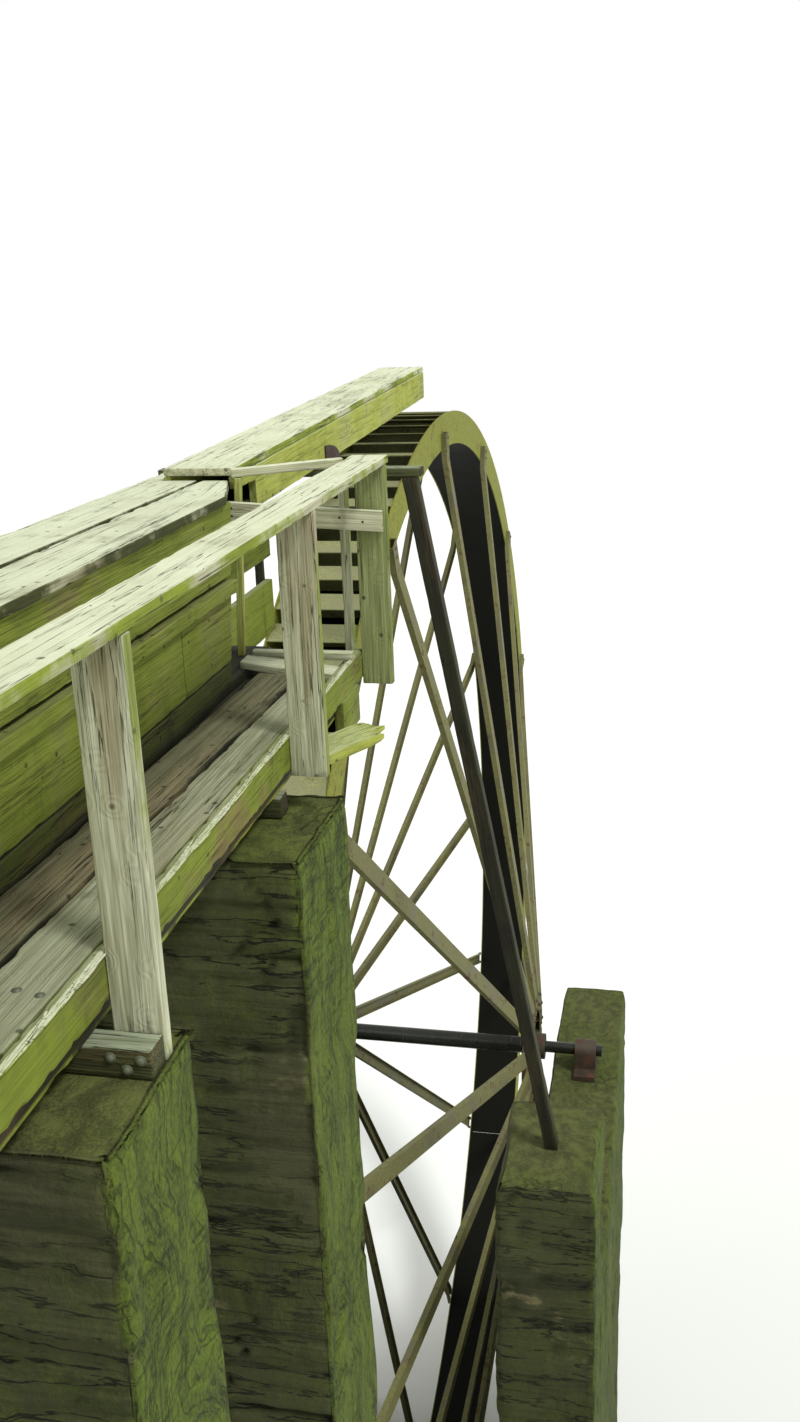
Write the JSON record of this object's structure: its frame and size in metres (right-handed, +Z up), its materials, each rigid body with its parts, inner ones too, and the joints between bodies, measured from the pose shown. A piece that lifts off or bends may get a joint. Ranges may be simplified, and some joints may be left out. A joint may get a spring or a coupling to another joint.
{
  "type": "water wheel",
  "caption": "Overshot steel water wheel on a horizontal axle, fed by a plank flume with a railed walkway on rubble stone piers",
  "frame": {"origin": "middle of the whole length and width at the floor of the wheel pit, on the wheel's middle plane", "axes": "+X to the walkway side of the flume, +Y downstream, +Z up"},
  "size_m": [3.79, 18.387, 12.8572],
  "materials": {
    "rubble_stone": "dark mossy rubble in lime mortar",
    "bleached_wood": "sun-bleached bare timber",
    "mossy_wood": "bare timber grown over with yellow-green algae",
    "grey_wood": "weathered brown-grey timber with knots",
    "dark_wood": "wet dark timber",
    "shroud_steel": "dull steel under an olive film of algae and rust",
    "sole_steel": "wet near-black steel",
    "bucket_steel": "pale limed steel",
    "arm_steel": "dark rusted steel, olive where wet",
    "hub_iron": "rusty cast iron",
    "axle_steel": "near-black glossy wet steel",
    "rust_plate": "rusty sheet"
  },
  "bodies": {
    "frame": {"bearing_right": "hub_iron", "bearing_left": "hub_iron", "pit_wall_right": "rubble_stone", "pit_wall_left": "rubble_stone", "stone_pier_1": "rubble_stone", "stone_pier_2": "rubble_stone", "stone_pier_3": "rubble_stone", "stone_pier_4": "rubble_stone", "bearers": "dark_wood", "stringers": "dark_wood", "flume_sills": "dark_wood", "fascia": "mossy_wood", "deck_planks": "grey_wood", "head_cross_boards": "grey_wood", "short_board": "mossy_wood", "broken_board": "mossy_wood", "rail_posts": "grey_wood", "top_rail": "bleached_wood", "end_post": "grey_wood", "end_rail_lower": "grey_wood", "end_rail_upper": "bleached_wood", "corner_post": "grey_wood", "lower_flume_floor": "dark_wood", "lower_flume_right_wall": "mossy_wood", "lower_flume_left_wall": "mossy_wood", "lower_flume_studs": "dark_wood", "lower_flume_cover": "bleached_wood", "flume_ledger": "dark_wood", "upper_flume_floor": "dark_wood", "upper_flume_sides": "mossy_wood", "upper_flume_cover": "bleached_wood", "half_round_plate": "rust_plate", "splash_boards": "mossy_wood", "board_hanger": "dark_wood", "trestle_beam": "dark_wood", "trestle_legs": "dark_wood"},
    "wheel": {"axle": "axle_steel", "hub_right": "hub_iron", "hub_left": "hub_iron", "arms_right": "arm_steel", "arms_left": "arm_steel", "shroud_right": "shroud_steel", "shroud_left": "shroud_steel", "sole_plate": "sole_steel", "buckets": "bucket_steel"}
  },
  "joints": [
    {"name": "wheel_spin", "type": "hinge", "parent": "frame", "child": "wheel", "pos_m": [0, 3.0935, 6.345], "axis": [-1, 0, 0], "continuous": true}
  ]
}
